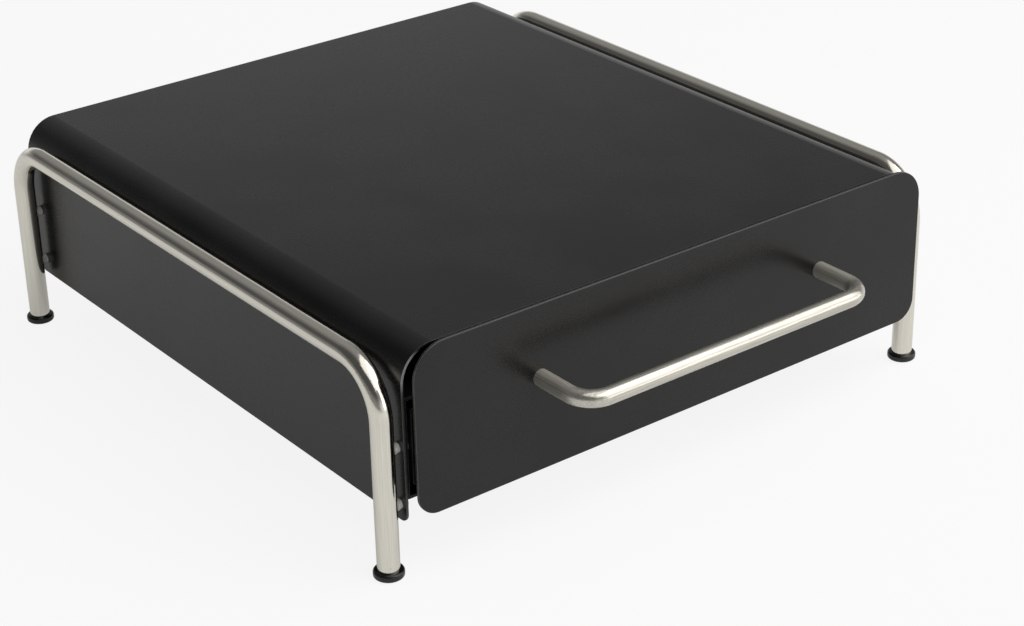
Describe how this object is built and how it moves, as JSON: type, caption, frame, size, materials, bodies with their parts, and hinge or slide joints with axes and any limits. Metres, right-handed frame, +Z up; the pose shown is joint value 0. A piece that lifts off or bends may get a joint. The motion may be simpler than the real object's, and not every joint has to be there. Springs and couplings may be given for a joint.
{
  "type": "coffee capsule storage box",
  "caption": "Flat black metal box on bent steel tube legs, with a pull-out drawer on ball slides that holds coffee capsules under a coffee machine.",
  "frame": {"origin": "On the floor, under the middle of the whole box with its handle and its feet's flanges.", "axes": "+Z up, +X to the right seen from the front, +Y to the rear; the drawer pulls out along -Y."},
  "size_m": [0.305, 0.3484, 0.1032],
  "materials": {
    "black_coat": "satin black powder coat with a fine grain",
    "tray_coat": "satin black powder coat",
    "steel": "brushed stainless steel",
    "slide_black": "black electro-coated steel",
    "bright_zinc": "bright zinc plate",
    "cage_steel": "zinc plated steel strip",
    "ball_steel": "polished bearing steel",
    "rubber": "smooth black rubber"
  },
  "bodies": {
    "frame": {"shell": "black_coat", "back_panel": "black_coat", "left_rail": "steel", "right_rail": "steel", "front_left_foot": "rubber", "front_right_foot": "rubber", "rear_left_foot": "rubber", "rear_right_foot": "rubber", "rail_spacers": "bright_zinc", "rail_screws": "bright_zinc", "left_cabinet_member": "slide_black", "right_cabinet_member": "slide_black", "left_slide_bumper": "rubber", "right_slide_bumper": "rubber"},
    "drawer": {"drawer_front": "black_coat", "drawer_tray": "tray_coat", "handle": "steel", "handle_screws": "bright_zinc", "slide_rivets": "bright_zinc", "left_drawer_member": "slide_black", "right_drawer_member": "slide_black"},
    "left_middle": {"left_middle_member": "slide_black"},
    "left_outer_race": {"left_outer_cage": "cage_steel", "left_outer_balls": "ball_steel"},
    "left_inner_race": {"left_inner_cage": "cage_steel", "left_inner_balls": "ball_steel"},
    "right_middle": {"right_middle_member": "slide_black"},
    "right_outer_race": {"right_outer_cage": "cage_steel", "right_outer_balls": "ball_steel"},
    "right_inner_race": {"right_inner_cage": "cage_steel", "right_inner_balls": "ball_steel"}
  },
  "joints": [
    {"name": "drawer_slide", "type": "slide", "parent": "frame", "child": "drawer", "axis": [0, -1, 0], "range_m": [0, 0.27]},
    {"name": "left_middle_slide", "type": "slide", "parent": "frame", "child": "left_middle", "axis": [0, -1, 0], "range_m": [0, 0.135]},
    {"name": "left_outer_race_slide", "type": "slide", "parent": "frame", "child": "left_outer_race", "axis": [0, -1, 0], "range_m": [0, 0.0675]},
    {"name": "left_inner_race_slide", "type": "slide", "parent": "frame", "child": "left_inner_race", "axis": [0, -1, 0], "range_m": [0, 0.2025]},
    {"name": "right_middle_slide", "type": "slide", "parent": "frame", "child": "right_middle", "axis": [0, -1, 0], "range_m": [0, 0.135]},
    {"name": "right_outer_race_slide", "type": "slide", "parent": "frame", "child": "right_outer_race", "axis": [0, -1, 0], "range_m": [0, 0.0675]},
    {"name": "right_inner_race_slide", "type": "slide", "parent": "frame", "child": "right_inner_race", "axis": [0, -1, 0], "range_m": [0, 0.2025]}
  ],
  "couplings": [
    {"joint": "left_middle_slide", "follows": "drawer_slide", "ratio": 0.5},
    {"joint": "left_outer_race_slide", "follows": "drawer_slide", "ratio": 0.25},
    {"joint": "left_inner_race_slide", "follows": "drawer_slide", "ratio": 0.75},
    {"joint": "right_middle_slide", "follows": "drawer_slide", "ratio": 0.5},
    {"joint": "right_outer_race_slide", "follows": "drawer_slide", "ratio": 0.25},
    {"joint": "right_inner_race_slide", "follows": "drawer_slide", "ratio": 0.75}
  ]
}
